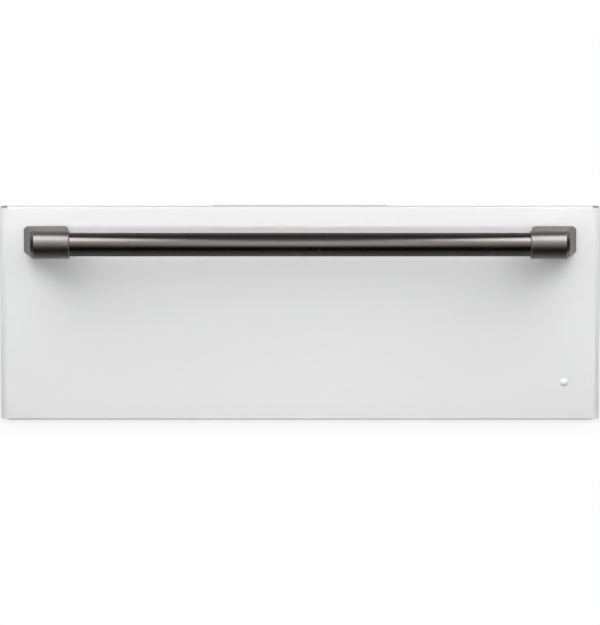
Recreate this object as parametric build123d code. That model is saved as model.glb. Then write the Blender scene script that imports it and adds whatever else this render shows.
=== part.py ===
from build123d import *
import os

# A built-in warming drawer, in millimetres.
# +X is the right-hand side seen from the front, +Y runs to the rear, +Z is up.
# The origin is the middle of the base that the case stands on.

# Front panel, one folded sheet
panel_width = 755.65
panel_height = 269.9
panel_sheet = 1.2
panel_return = 28.0
panel_bend = 10.0
panel_fold = 2.6
panel_corner_gap = 1.3
panel_flange = 15.0
panel_floor_gap = 3.0

# Case around the warm cavity
case_inset = 19.325
case_height = 222.0
case_sheet = 1.2
case_flange = 12.0
base_flange = 12.5
frame_sheet = 1.5
frame_overlap = 16.0
frame_rise = 34.0
frame_lift = 1.2
frame_corner = 6.0
mount_hole_radius = 2.4
mount_hole_edge = 6.0
mount_hole_pitch = 150.0
liner_sheet = 0.8
side_pad = 9.0
base_pad = 12.0
top_pad = 15.0
rear_pad = 12.0
pad_gap = 0.3
rear_bay = 40.0
lid_screw_front = 45.0
lid_screw_rear = 30.0
base_screw_inset = 60.0
base_screw_share = 0.75
rear_screw_shares = (0.3, 0.8)
louvre_shares = (0.68, 0.78, 0.88)
louvre_columns = 9
louvre_length = 42.0
louvre_width = 5.0
lid_slot_length = 34.0
lid_slot_count = 13
slot_span_share = 0.8

# Telescopic slides
slide_thickness = 13.0
slide_height = 45.0
slide_length = 460.0
slide_sheet = 1.2
slide_rise = 56.0
slide_front_gap = 4.0
slide_rear_gap = 17.0
drawer_travel = 440.0
ball_radius = 1.8
ball_play = 0.2
ball_pitch = 22.0
cage_sheet = 0.6
cage_play = 0.4
cage_margin = 5.0
cage_wing = 0.8
outer_lip_gap = 2.2
middle_lip_gap = 1.4
inner_lip_play = 0.2
outer_ball_depth = 6.4
inner_ball_depth = 8.4
slide_screw_front = 50.0
slide_screw_rear = 30.0
slide_screw_count = 3

# Drawer box
seal_gap = 4.8
seal_play = 0.3
seal_width = 6.0
seal_offset = 3.0
seal_corner = 2.0
inner_sheet = 1.0
inner_gap = 0.4
inner_lap = 6.0
inner_side_lap = 14.0
drawer_sheet = 1.2
drawer_lift = 26.0
drawer_headroom = 33.0
drawer_rear_gap = 48.5
drawer_flange = 12.0
floor_flange = 10.0
floor_slot_length = 60.0
floor_slot_width = 8.0
floor_rows = 5
floor_columns = 6
floor_row_inset = 60.0
floor_column_inset = 90.0
box_screw_low = 22.0
box_screw_high = 24.0
front_pad_low = 4.0
front_pad_high = 8.0
front_pad_side = 20.0
front_pad_lead_gap = 1.8

# Serving pan and rack
pan_sheet = 1.0
pan_floor_gap = 22.0
pan_taper = 7.0
pan_corner = 20.0
pan_floor_radius = 12.0
pan_side_gap = 2.3
pan_front_gap = 18.0
pan_back_gap = 2.3
rim_inset = 3.0
rim_front = 3.0
rim_back = 9.0
rack_inset = 22.0
rack_corner = 30.0
rack_frame_radius = 2.5
rack_wire_radius = 1.5
rack_wire_pitch = 24.0
rack_weld = 0.5
rack_foot_height = 9.0
rack_foot_radius = 2.2
rack_foot_share = 0.3
rack_wire_over = 1.0

# Handle
handle_reach = 60.0
handle_drop = 42.0
handle_end_inset = 30.5
bar_radius = 14.6
bar_wall = 2.0
ferrule_radius = 17.5
ferrule_length = 48.5
ferrule_bevel = 4.2
ferrule_end_bevel = 6.0
ferrule_lip = 1.0
socket_depth = 26.0
socket_play = 0.1
post_width = 55.5
post_height = 35.0
post_edge = 3.5
post_slant = 11.7
post_step = 4.8
post_screw_pitch = 28.0

# Indicator lamp
lamp_inset = 44.9
lamp_rise = 47.6
lens_radius = 5.1
lens_crown = 2.6
lens_stem_radius = 3.6
lens_stem_length = 8.0
lamp_body_radius = 6.5
lamp_body_length = 13.0
lamp_play = 0.15

# Touch controls on the top edge of the drawer front
control_length = 220.0
bezel_gap = 0.3
bezel_lip = 1.0
bezel_corner = 1.5
bezel_back_gap = 0.8
skirt_wall = 0.9
skirt_play = 0.2
key_length = 16.0
key_width = 7.0
key_height = 6.0
key_play = 0.2
key_rim = 1.2
key_travel = 0.8
key_rest_gap = 0.1
key_pitch = 40.0
key_round = 0.5
dome_height = 1.0
dome_radius = 2.4
board_sheet = 1.6

# Moisture vent in the drawer front
shutter_rise = 5.0
shutter_height = 20.0
shutter_length = 196.0
shutter_sheet = 1.2
shutter_play = 0.2
vent_count = 9
vent_pitch = 18.0
vent_width = 7.0
vent_height = 11.0
vent_cut = 4.0
guide_bar = 2.6
guide_lip = 1.4
guide_sheet = 1.0
knob_length = 12.0
knob_height = 10.0
knob_reach = 8.0
knob_inset = 2.0
knob_round = 1.5

# Heating
element_radius = 3.3
element_rise = 9.0
element_bend = 24.0
element_side_gap = 77.5
element_front_gap = 62.0
element_back_gap = 80.0
element_inner = 105.0
element_inner_gap = 80.0
element_terminal = 36.0
terminal_pin_radius = 1.6
terminal_pin_length = 12.0
terminal_reach = 6.0
clip_length = 14.0
clip_width = 14.0
clip_play = 0.15
clip_inset = 60.0
clip_inner_inset = 70.0
guard_rise = 16.0
guard_sheet = 1.0
guard_inset = 46.0
guard_front_gap = 30.0
guard_back_gap = 4.0
guard_slot_length = 80.0
guard_slot_width = 9.0
guard_rows = 6
guard_columns = 5
guard_row_front = 40.0
guard_row_back = 70.0
guard_column_inset = 60.0
probe_radius = 2.4
probe_length = 34.0
probe_x = 200.0
probe_drop = 20.0
probe_tip = 1.9
probe_flange_half = 11.0
probe_flange_high = 6.0
probe_flange_corner = 4.0
limit_radius = 8.0
limit_length = 11.0
limit_x = -230.0
limit_z = 150.0
limit_pocket = 14.5
limit_flange_half = 13.0
limit_flange_high = 5.0
limit_flange_sheet = 1.0
blade_offset = 4.4
blade_sheet = 0.8
blade_length = 8.0
blade_width = 6.0

# Supply and wiring
gland_inset = 248.5
gland_z = 52.0
gland_bore = 5.0
gland_radius = 10.5
gland_flange_radius = 15.0
gland_flange = 4.0
gland_inside = 12.0
gland_play = 0.1
gland_round = 1.6
cover_inset = 148.5
cover_z = 58.0
cover_width = 96.0
cover_height = 76.0
cover_lap = 12.0
cover_corner = 5.0
block_width = 64.0
block_depth = 20.0
block_height = 24.0
block_rear_gap = 6.0
pole_count = 3
pole_radius = 3.2
pole_depth = 8.0
pole_rise = 14.0
barrier_width = 2.0
barrier_depth = 12.0
board_x = -140.0
board_width = 124.0
board_height = 84.0
board_low = 26.0
relay_count = 2
relay_pitch = 34.0
relay_length = 28.0
relay_depth = 16.0
relay_height = 14.0
relay_edge = 14.0
relay_rise = 36.0
capacitor_radius = 9.0
capacitor_depth = 20.0
capacitor_edge = 26.0
capacitor_rise = 58.0
transformer_length = 32.0
transformer_depth = 12.0
transformer_height = 22.0
transformer_edge = 10.0
transformer_rise = 16.0
standoff_length = 10.0
standoff_radius = 3.5
standoff_margin = 2.5
plug_width = 18.0
plug_height = 14.0
plug_depth = 22.0
lead_radius = 2.2
lead_bend = 7.0
lead_offset = 5.0
lead_turn_rise = 16.0
loop_bend = 5.0
loop_pitch = 11.0
loop_folds = 2
loop_half = 140.0
loop_wall_gap = 8.5
wall_hole_play = 0.6
duct_x = -60.0
duct_width = 16.0
duct_height = 7.0
duct_sheet = 0.8

# Fasteners
screw_head_radius = 4.0
screw_head = 2.2
head_round_share = 0.45
screw_radius = 1.9
screw_length = 6.0
screw_play = 0.2
slide_screw_length = 3.6
handle_screw_head = 3.0
handle_screw_radius = 2.4
handle_screw_length = 14.0
recess_length = 4.2
recess_width = 1.0
recess_depth = 1.0
drill_reach = 18.0
overcut = 1.0

# Places worked out from those sizes
panel_half = panel_width / 2
flange_half = panel_half - panel_bend
panel_low = panel_floor_gap
panel_high = panel_low + panel_height
case_half = panel_half - case_inset
side_in = case_half - case_sheet
liner_out = side_in - side_pad
liner_half = liner_out - liner_sheet
drawer_half = liner_half - slide_thickness
box_half = drawer_half - drawer_sheet
frame_half = case_half + frame_overlap
gland_x = case_half - gland_inset
cover_x = case_half - cover_inset

liner_low = case_sheet + base_pad
cavity_low = liner_low + liner_sheet
top_in = case_height - case_sheet
cavity_high = top_in - top_pad - liner_sheet
drawer_low = cavity_low + drawer_lift
drawer_high = cavity_high - drawer_headroom
slide_z = drawer_low + slide_rise
frame_high = case_height + frame_rise

cavity_depth = slide_front_gap + slide_length + slide_rear_gap
case_depth = cavity_depth + liner_sheet + rear_pad + rear_bay + case_sheet
face_y = -case_depth / 2
back_y = case_depth / 2
rear_in = back_y - case_sheet
cavity_back = face_y + cavity_depth
pad_back = cavity_back + liner_sheet + rear_pad
frame_y = face_y - frame_sheet
inner_y = frame_y - seal_gap
panel_y = inner_y - panel_return
skin_y = panel_y + panel_sheet
handle_y = panel_y - handle_reach
handle_z = panel_high - handle_drop
drawer_back = cavity_back - drawer_rear_gap
slide_front = face_y + slide_front_gap

post_outer = panel_half - handle_end_inset
post_inner = post_outer - post_width
ferrule_inner = post_inner - post_step
ferrule_outer = ferrule_inner + ferrule_length
post_screws = [(post_outer + post_inner + turn * post_screw_pitch) / 2 for turn in (-1, 1)]
lamp_x = panel_half - lamp_inset
lamp_z = panel_low + lamp_rise

bezel_y = (panel_y + panel_flange + bezel_gap, inner_y - bezel_back_gap)
skirt_y = (bezel_y[0] + bezel_lip, inner_y - inner_sheet - skirt_play - skirt_wall / 2)
key_y = (skirt_y[0] + skirt_y[1]) / 2
bezel_low = panel_high - panel_sheet
board_high = panel_high - key_height - key_travel - key_rest_gap - dome_height
key_names = ("power", "low", "medium", "high")
key_places = [(index - (len(key_names) - 1) / 2) * key_pitch for index in range(len(key_names))]

shutter_low = drawer_high + shutter_rise
shutter_high = shutter_low + shutter_height
vent_z = (shutter_low + shutter_high) / 2
vent_places = [(index - (vent_count - 1) / 2) * vent_pitch for index in range(vent_count)]
vent_offset = vent_pitch / 2

element_z = cavity_low + element_rise
element_half = liner_half - element_side_gap
guard_half = liner_half - guard_inset
duct_z = drawer_low - duct_height / 2
duct_low = drawer_low - duct_height


# Shape helpers
def block(x, y, z):
    pairs = (x, y, z)
    middle = [(low + high) / 2 for low, high in pairs]
    return Pos(*middle) * Box(*[high - low for low, high in pairs])


def alongX(x, y, z, radius):
    return Pos((x[0] + x[1]) / 2, y, z) * Rot(Y=90) * Cylinder(radius, x[1] - x[0])


def alongY(x, y, z, radius):
    return Pos(x, (y[0] + y[1]) / 2, z) * Rot(X=-90) * Cylinder(radius, y[1] - y[0])


def alongZ(x, y, z, radius):
    return Pos(x, y, (z[0] + z[1]) / 2) * Cylinder(radius, z[1] - z[0])


def otherSide(shape):
    return mirror(shape, about=Plane.YZ)


def group(shapes):
    return Compound([shape.solid() for shape in shapes])


def tube(points, bends, radius):
    path = FilletPolyline(*points, radius=bends)
    return sweep(Plane(origin=path @ 0, z_dir=path % 0) * Circle(radius), path=path)


def facing(x, y, z, way):
    return Plane(origin=(x, y, z), z_dir=way).location


def drilled(sheet, places, radius):
    return sheet - [place * Cylinder(radius, drill_reach) for place in places]


# A pan-head screw whose head stands on the plane z = 0
def screw(head_height, radius, length):
    head = Pos(0, 0, head_height / 2) * Cylinder(screw_head_radius, head_height)
    head = fillet(head.edges().group_by(Axis.Z)[-1], head_height * head_round_share)
    reach, half = recess_length / 2, recess_width / 2
    depth = (head_height - recess_depth, head_height + recess_depth)
    head -= block((-reach, reach), (-half, half), depth)
    head -= block((-half, half), (-reach, reach), depth)
    return head + Pos(0, 0, -length / 2) * Cylinder(radius, length)


# Rounded slots cut through a sheet, with their long side along X
def slots(places, length, width, way):
    cutter = extrude(SlotOverall(length, width), amount=drill_reach / 2, both=True)
    return [Plane(origin=place, x_dir=(1, 0, 0), z_dir=way).location * cutter for place in places]


def spread(low, high, count):
    return [low + (high - low) * index / (count - 1) for index in range(count)]


# Where the case screws go
screw_line = side_in - case_flange / 2
screw_hole = screw_radius + screw_play
flange_z = (base_flange + case_sheet) / 2
top_screws = [
    facing(side * screw_line, y, case_height, (0, 0, 1))
    for side in (-1, 1)
    for y in spread(face_y + lid_screw_front, back_y - lid_screw_rear, 3)
]
side_screws = [
    facing(side * case_half, y, flange_z, (side, 0, 0))
    for side in (-1, 1)
    for y in spread(face_y + base_screw_inset, back_y - base_screw_inset, 3)
]
rear_screws = [
    facing(side * screw_line, back_y, z, (0, 1, 0))
    for side in (-1, 1)
    for z in [share * case_height for share in rear_screw_shares]
]
base_screw_reach = side_in * base_screw_share
base_screws = [facing(x, back_y, flange_z, (0, 1, 0)) for x in spread(-base_screw_reach, base_screw_reach, 3)]
slot_reach = side_in * slot_span_share
cover_screws = [
    facing(
        cover_x + side * (cover_width - cover_lap) / 2,
        back_y + case_sheet,
        cover_z + turn * (cover_height - cover_lap) / 2,
        (0, 1, 0),
    )
    for side in (-1, 1)
    for turn in (-1, 1)
]


# Case sheets
def basePan():
    floor = block((-side_in, side_in), (face_y, rear_in), (0, case_sheet))
    for side in (-1, 1):
        edge = sorted((side * side_in, side * (side_in - case_sheet)))
        floor += block(edge, (face_y, rear_in), (0, base_flange))
    floor += block((-side_in, side_in), (face_y, face_y + case_sheet), (0, base_flange))
    floor += block((-side_in, side_in), (rear_in - case_sheet, rear_in), (0, base_flange))
    return drilled(floor, side_screws + base_screws, screw_hole)


def sidePanel():
    wall = block((side_in, case_half), (face_y, rear_in), (0, top_in))
    flange_low = side_in - case_flange
    wall += block((flange_low, side_in), (face_y, rear_in), (top_in - case_sheet, top_in))
    rear = (base_flange + case_sheet, top_in)
    wall += block((flange_low, side_in), (rear_in - case_sheet, rear_in), rear)
    front = (cavity_low, cavity_high)
    wall += block((liner_out + pad_gap, side_in), (face_y, face_y + case_sheet), front)
    return drilled(wall, top_screws + side_screws + rear_screws, screw_hole)


def rearPanel():
    wall = block((-case_half, case_half), (rear_in, back_y), (0, top_in))
    half_w, half_h = cover_width / 2 - cover_lap, cover_height / 2 - cover_lap
    wall -= block(
        (cover_x - half_w, cover_x + half_w),
        (rear_in - case_sheet, back_y + case_sheet),
        (cover_z - half_h, cover_z + half_h),
    )
    wall -= alongY(gland_x, (rear_in - case_sheet, back_y + case_sheet), gland_z, gland_radius + gland_play)
    louvres = [
        (x, back_y, z)
        for x in spread(-slot_reach, slot_reach, louvre_columns)
        for z in [share * case_height for share in louvre_shares]
    ]
    wall -= slots(louvres, louvre_length, louvre_width, (0, 1, 0))
    for x, z in boardCorners():
        wall += alongY(x, (rear_in - standoff_length, rear_in), z, standoff_radius)
    return drilled(wall, rear_screws + base_screws + cover_screws, screw_hole)


def boardCorners():
    inset = standoff_radius + standoff_margin
    sides = [board_x + side * (board_width / 2 - inset) for side in (-1, 1)]
    return [(x, z) for x in sides for z in (board_low + inset, board_low + board_height - inset)]


def topCover():
    lid = block((-case_half, case_half), (face_y, back_y), (top_in, case_height))
    vents = [(x, rear_in - rear_bay / 2, case_height) for x in spread(-slot_reach, slot_reach, lid_slot_count)]
    lid -= slots(vents, lid_slot_length, louvre_width, (0, 0, 1))
    return drilled(lid, top_screws, screw_hole)


def accessCover():
    plate = block(
        (cover_x - cover_width / 2, cover_x + cover_width / 2),
        (back_y, back_y + case_sheet),
        (cover_z - cover_height / 2, cover_z + cover_height / 2),
    )
    plate = fillet(plate.edges().filter_by(Axis.Y), cover_corner)
    return drilled(plate, cover_screws, screw_hole)


def caseScrews():
    master = screw(screw_head, screw_radius, screw_length)
    places = top_screws + side_screws + rear_screws + base_screws + cover_screws
    return group([place * master for place in places])


# The face frame that overlaps the cabinet and takes the mounting screws
def frontFrame():
    frame = block((-frame_half, frame_half), (frame_y, face_y), (frame_lift, frame_high))
    frame = fillet(frame.edges().filter_by(Axis.Y), frame_corner)
    frame -= block((-liner_half, liner_half), (frame_y - overcut, face_y + overcut), (cavity_low, cavity_high))
    middle = (frame_lift + frame_high) / 2
    places = [
        facing(side * (frame_half - mount_hole_edge), face_y, middle + turn * mount_hole_pitch / 2, (0, 1, 0))
        for side in (-1, 1)
        for turn in (-1, 1)
    ]
    return drilled(frame, places, mount_hole_radius)


# Bright steel lining of the cavity
def linerFlat(low):
    return block((-liner_out, liner_out), (face_y, cavity_back + liner_sheet), (low, low + liner_sheet))


def linerSide():
    return block((liner_half, liner_out), (face_y, cavity_back + liner_sheet), (cavity_low, cavity_high))


def wallHoles(y):
    tail = element_radius + wall_hole_play
    holes = [alongY(side * element_terminal, y, element_z, tail) for side in (-1, 1)]
    holes.append(alongY(-loop_half, y, duct_z, lead_radius + wall_hole_play))
    return holes


def linerRear():
    y = (cavity_back, cavity_back + liner_sheet)
    wall = block((-liner_half, liner_half), y, (cavity_low, cavity_high))
    probe = alongY(probe_x, y, cavity_high - probe_drop, probe_radius + wall_hole_play)
    return wall - wallHoles((y[0] - overcut, y[1] + overcut)) - probe


# Mineral wool pads between the case and the lining
def caseInsulation():
    front = face_y + case_sheet + pad_gap
    rear = cavity_back + liner_sheet
    base_half = case_half - screw_length - pad_gap
    top_half = side_in - case_flange - pad_gap
    base = block((-base_half, base_half), (front, rear), (case_sheet, liner_low))
    top = block((-top_half, top_half), (front, rear), (cavity_high + liner_sheet, top_in))
    side = block((liner_out, side_in), (front, rear), (liner_low + pad_gap, cavity_high))
    back = block((-liner_half, liner_half), (rear, pad_back), (cavity_low, cavity_high))
    cut_y = (rear - overcut, pad_back + overcut)
    back -= wallHoles(cut_y)
    back -= alongY(probe_x, cut_y, cavity_high - probe_drop, probe_radius + wall_hole_play)
    pocket_x = (limit_x - limit_pocket, limit_x + limit_pocket)
    back -= block(pocket_x, cut_y, (limit_z - limit_pocket, limit_z + limit_pocket))
    return group([base, top, side, otherSide(side), back])


# Tubular heating element with two cold pins through the rear wall
def elementRoute():
    front = face_y + element_front_gap
    rear = cavity_back - element_back_gap
    half = [
        (element_terminal, pad_back + terminal_reach),
        (element_terminal, rear),
        (element_half, rear),
        (element_half, front),
        (element_inner, front),
        (element_inner, rear - element_inner_gap),
    ]
    points = half + [(-x, y) for x, y in reversed(half)]
    return [(x, y, element_z) for x, y in points]


def heatingElement():
    points = elementRoute()
    rod = tube(points, element_bend, element_radius)
    pin_y = (points[0][1], points[0][1] + terminal_pin_length)
    for side in (-1, 1):
        rod += alongY(side * element_terminal, pin_y, element_z, terminal_pin_radius)
    return rod


def elementClips():
    front = face_y + element_front_gap
    rear = cavity_back - element_back_gap
    spots = [(side * element_half, y) for side in (-1, 1) for y in (front + clip_inset, rear - clip_inset)]
    spots += [(side * element_inner, front + clip_inner_inset) for side in (-1, 1)]
    clips = []
    for x, y in spots:
        saddle = block(
            (x - clip_width / 2, x + clip_width / 2),
            (y - clip_length / 2, y + clip_length / 2),
            (cavity_low, element_z),
        )
        groove = alongY(x, (y - clip_length, y + clip_length), element_z, element_radius + clip_play)
        clips.append(saddle - groove)
    return group(clips)


# Slotted guard over the element, standing on two folded edges
def elementGuard():
    low = cavity_low + guard_rise
    y = (face_y + guard_front_gap, cavity_back - guard_back_gap)
    plate = block((-guard_half, guard_half), y, (low, low + guard_sheet))
    for side in (-1, 1):
        edge = sorted((side * guard_half, side * (guard_half - guard_sheet)))
        plate += block(edge, y, (cavity_low, low + guard_sheet))
    rows = spread(y[0] + guard_row_front, y[1] - guard_row_back, guard_rows)
    column_half = guard_half - guard_column_inset
    columns = spread(-column_half, column_half, guard_columns)
    places = [(x, row, low) for x in columns for row in rows]
    return plate - slots(places, guard_slot_length, guard_slot_width, (0, 0, 1))


def temperatureProbe():
    z = cavity_high - probe_drop
    stem = alongY(probe_x, (cavity_back - probe_length, pad_back + terminal_reach), z, probe_radius)
    tip = stem.edges().group_by(Axis.Y)[0]
    stem = fillet(tip, probe_tip)
    flange_x = (probe_x - probe_flange_half, probe_x + probe_flange_half)
    flange_tall = (z - probe_flange_high, z + probe_flange_high)
    flange = block(flange_x, (cavity_back - liner_sheet, cavity_back), flange_tall)
    return stem + fillet(flange.edges().filter_by(Axis.Y), probe_flange_corner)


def limitThermostat():
    y = cavity_back + liner_sheet
    disc = alongY(limit_x, (y, y + limit_length), limit_z, limit_radius)
    flange_x = (limit_x - limit_flange_half, limit_x + limit_flange_half)
    flange_tall = (limit_z - limit_flange_high, limit_z + limit_flange_high)
    disc += block(flange_x, (y, y + limit_flange_sheet), flange_tall)
    blade_y = (y + limit_length, y + limit_length + blade_length)
    blade_z = (limit_z - blade_width / 2, limit_z + blade_width / 2)
    for side in (-1, 1):
        left = limit_x + side * blade_offset - blade_sheet / 2
        disc += block((left, left + blade_sheet), blade_y, blade_z)
    return disc


# Supply side: terminal block, power board and cable gland
def terminalBlock():
    rear = rear_in - case_sheet - block_rear_gap
    y = (rear - block_depth, rear)
    left, top = cover_x - block_width / 2, case_sheet + block_height
    body = block((left, left + block_width), y, (case_sheet, top))
    pole = block_width / pole_count
    cut_y = (y[0] - overcut, rear + overcut)
    for index in range(1, pole_count):
        x = left + index * pole
        cut_x = (x - barrier_width / 2, x + barrier_width / 2)
        body -= block(cut_x, cut_y, (top - barrier_depth, top + overcut))
    for index in range(pole_count):
        x = left + (index + 0.5) * pole
        body -= alongY(x, (rear - pole_depth, cut_y[1]), case_sheet + pole_rise, pole_radius)
    return body


def powerBoard():
    front = rear_in - standoff_length - board_sheet
    x = (board_x - board_width / 2, board_x + board_width / 2)
    board = block(x, (front, front + board_sheet), (board_low, board_low + board_height))
    plug_low = duct_z - plug_height / 2
    board += block(
        (-loop_half - plug_width / 2, -loop_half + plug_width / 2),
        (front - plug_depth, front + board_sheet),
        (plug_low, plug_low + plug_height),
    )
    relay_z = (board_low + relay_rise, board_low + relay_rise + relay_height)
    for index in range(relay_count):
        relay = x[0] + relay_edge + index * relay_pitch
        board += block((relay, relay + relay_length), (front - relay_depth, front), relay_z)
    capacitor_y = (front - capacitor_depth, front)
    board += alongY(x[1] - capacitor_edge, capacitor_y, board_low + capacitor_rise, capacitor_radius)
    core_x = (x[1] - transformer_edge - transformer_length, x[1] - transformer_edge)
    core_z = (board_low + transformer_rise, board_low + transformer_rise + transformer_height)
    return board + block(core_x, (front - transformer_depth, front), core_z)


def cordGland():
    outside = (back_y, back_y + gland_flange)
    gland = alongY(gland_x, outside, gland_z, gland_flange_radius)
    gland = fillet(gland.edges().group_by(Axis.Y)[-1], gland_round)
    inside = (rear_in - gland_inside, back_y)
    gland += alongY(gland_x, inside, gland_z, gland_radius)
    return gland - alongY(gland_x, (inside[0] - overcut, outside[1] + overcut), gland_z, gland_bore)


# Flexible loop that feeds the drawer front, folded behind the drawer
def loopRoute():
    plug_y = rear_in - standoff_length - board_sheet - plug_depth
    first = cavity_back - loop_wall_gap
    points = [(-loop_half, plug_y), (-loop_half, first), (loop_half, first)]
    side = 1
    for index in range(1, loop_folds + 1):
        y = first - index * loop_pitch
        points += [(side * loop_half, y), (-side * loop_half, y)]
        side = -side
    last = first - (loop_folds + 1) * loop_pitch
    points += [(side * loop_half, last), (duct_x, last), (duct_x, drawer_back)]
    return [(x, y, duct_z) for x, y in points]


def serviceLoop():
    return tube(loopRoute(), loop_bend, lead_radius)


# Slide members, drawn for the right-hand side. Depth is measured from the cavity wall inwards.
def slideX(depth):
    return tuple(sorted(liner_half - value for value in depth))


outer_high = slide_height / 2
middle_high = outer_high - slide_sheet - 2 * (ball_radius + ball_play)
inner_high = middle_high - slide_sheet - 2 * (ball_radius + ball_play)
middle_web = slide_sheet + cage_sheet + 2 * cage_play
inner_cage_web = middle_web + slide_sheet + cage_play
slide_y = (slide_front, slide_front + slide_length)
cage_y = (
    slide_front + drawer_travel / 4 + cage_margin,
    slide_front + slide_length - drawer_travel / 4 - cage_margin,
)


def channel(web, flange, high):
    profile = block(slideX(web), slide_y, (slide_z - high, slide_z + high))
    for turn in (-1, 1):
        edge = sorted((slide_z + turn * high, slide_z + turn * (high - slide_sheet)))
        profile += block(slideX(flange), slide_y, edge)
    return profile


def slideOuter():
    return channel((0, slide_sheet), (0, slide_thickness - outer_lip_gap), outer_high)


def slideMiddle():
    web = (middle_web, middle_web + slide_sheet)
    return channel(web, (middle_web, slide_thickness - middle_lip_gap), middle_high)


def slideInner():
    web = (slide_thickness - slide_sheet, slide_thickness)
    flange = (inner_cage_web + cage_sheet + cage_play + inner_lip_play, slide_thickness)
    return drilled(channel(web, flange, inner_high), slideScrewPlaces(1), screw_hole)


# A folded ball cage and its two rows of balls, running between two members
def ballCage(web_start, ball_depth, ball_high):
    strip_high = ball_high + cage_sheet / 2
    ball_count = int((cage_y[1] - cage_y[0] - 2 * cage_margin) / ball_pitch) + 1
    rows = spread(cage_y[0] + cage_margin, cage_y[0] + cage_margin + (ball_count - 1) * ball_pitch, ball_count)
    web = slideX((web_start, web_start + cage_sheet))
    cage = block(web, cage_y, (slide_z - strip_high, slide_z + strip_high))
    wing = slideX((web_start, ball_depth + ball_radius + cage_wing))
    ball_x = slideX((ball_depth, ball_depth))[0]
    balls = []
    for turn in (-1, 1):
        z = slide_z + turn * ball_high
        cage += block(wing, cage_y, (z - cage_sheet / 2, z + cage_sheet / 2))
        balls += [Pos(ball_x, y, z) * Sphere(ball_radius) for y in rows]
    cage -= [Pos(ball.center()) * Cylinder(ball_radius + ball_play / 2, 2 * cage_sheet) for ball in balls]
    return group([cage] + balls)


def cageOuter():
    return ballCage(slide_sheet + cage_play, outer_ball_depth, middle_high + ball_radius + ball_play)


def cageInner():
    return ballCage(inner_cage_web, inner_ball_depth, inner_high + ball_radius + ball_play)


# Drawer front
def frontPanel():
    upright = (panel_low + panel_corner_gap, panel_high - panel_corner_gap)
    outer = block((-panel_half, panel_half), (panel_y, inner_y), upright)
    outer = fillet(outer.edges().filter_by(Axis.Z).group_by(Axis.Y)[0], panel_bend)
    core_half = panel_half - panel_sheet
    core = block((-core_half, core_half), (skin_y, inner_y + overcut), (panel_low, panel_high))
    core = fillet(core.edges().filter_by(Axis.Z).group_by(Axis.Y)[0], panel_bend - panel_sheet)
    folded_y = (panel_y, panel_y + panel_flange)
    folded = block((-flange_half, flange_half), folded_y, (panel_low, panel_high))
    folded = fillet(folded.edges().filter_by(Axis.X).group_by(Axis.Y)[0], panel_fold)
    inside_z = (panel_low + panel_sheet, panel_high - panel_sheet)
    inside = block((-panel_half, panel_half), (skin_y, folded_y[1] + overcut), inside_z)
    inside = fillet(inside.edges().filter_by(Axis.X).group_by(Axis.Y)[0], panel_fold - panel_sheet)
    face = block((-flange_half, flange_half), (panel_y, inner_y), (panel_low, panel_high))
    skin = (outer - core - face) + (folded - inside)
    skin = drilled(skin, handleScrewPlaces(), handle_screw_radius + screw_play)
    return skin - alongY(lamp_x, (panel_y - overcut, skin_y + overcut), lamp_z, lens_stem_radius + lamp_play)


def frontInnerPanel():
    half = panel_half - panel_sheet - inner_gap
    low, high = panel_low + panel_sheet, panel_high - panel_sheet
    plate = block((-half, half), (inner_y - inner_sheet, inner_y), (low, high))
    lap_y = (panel_y + panel_flange - inner_lap, inner_y)
    for z in ((low, low + inner_sheet), (high - inner_sheet, high)):
        plate += block((-flange_half, flange_half), lap_y, z)
    upright = (panel_low + panel_fold, panel_high - panel_fold)
    for side in (-1, 1):
        edge = sorted((side * half, side * (half - inner_sheet)))
        plate += block(edge, (inner_y - inner_side_lap, inner_y), upright)
    slot_half = control_length / 2 - bezel_lip + skirt_play
    slot_y = (skirt_y[0] - skirt_play, skirt_y[1] + skirt_play)
    plate -= block((-slot_half, slot_half), slot_y, (high - inner_sheet - overcut, high + overcut))
    plate -= ventCuts(0)
    lead_hole = (inner_y - inner_sheet - overcut, inner_y + overcut)
    plate -= alongY(duct_x, lead_hole, duct_z, lead_radius + wall_hole_play)
    return drilled(plate + shutterGuides(), boxScrewPlaces(), screw_hole)


def ventCuts(offset):
    openings = []
    for x in vent_places:
        left = x + offset - vent_width / 2
        openings.append(
            block(
                (left, left + vent_width),
                (inner_y - vent_cut, inner_y + vent_cut),
                (vent_z - vent_height / 2, vent_z + vent_height / 2),
            )
        )
    return openings


def shutterGuides():
    half = shutter_length / 2 + vent_offset
    lip_front = inner_y + shutter_sheet + 2 * shutter_play
    lip_y = (lip_front, lip_front + guide_sheet)
    low = (shutter_low - shutter_play - guide_bar, shutter_low - shutter_play)
    high = (shutter_high + shutter_play, shutter_high + shutter_play + guide_bar)
    guides = block((-half, half), (inner_y, lip_y[1]), low)
    guides += block((-half, half), lip_y, (low[1], low[1] + guide_lip))
    guides += block((-half, half), (inner_y, lip_y[1]), high)
    guides += block((-half, half), lip_y, (high[0] - guide_lip, high[0]))
    return guides


def ventShutter():
    y = (inner_y + shutter_play, inner_y + shutter_play + shutter_sheet)
    left = -shutter_length / 2 - vent_offset / 2
    plate = block((left, left + shutter_length), y, (shutter_low, shutter_high))
    plate -= ventCuts(-vent_offset)
    right = left + shutter_length - knob_inset
    knob = block(
        (right - knob_length, right),
        (y[1], y[1] + knob_reach),
        (vent_z - knob_height / 2, vent_z + knob_height / 2),
    )
    return plate + fillet(knob.edges().group_by(Axis.Y)[-1], knob_round)


def frontInsulation():
    low, high = drawer_low + front_pad_low, handle_z + front_pad_high
    half = drawer_half - front_pad_side
    y = (panel_y + lead_offset + lead_radius + front_pad_lead_gap, inner_y - inner_sheet)
    return block((-half, half), y, (low, high))


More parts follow.
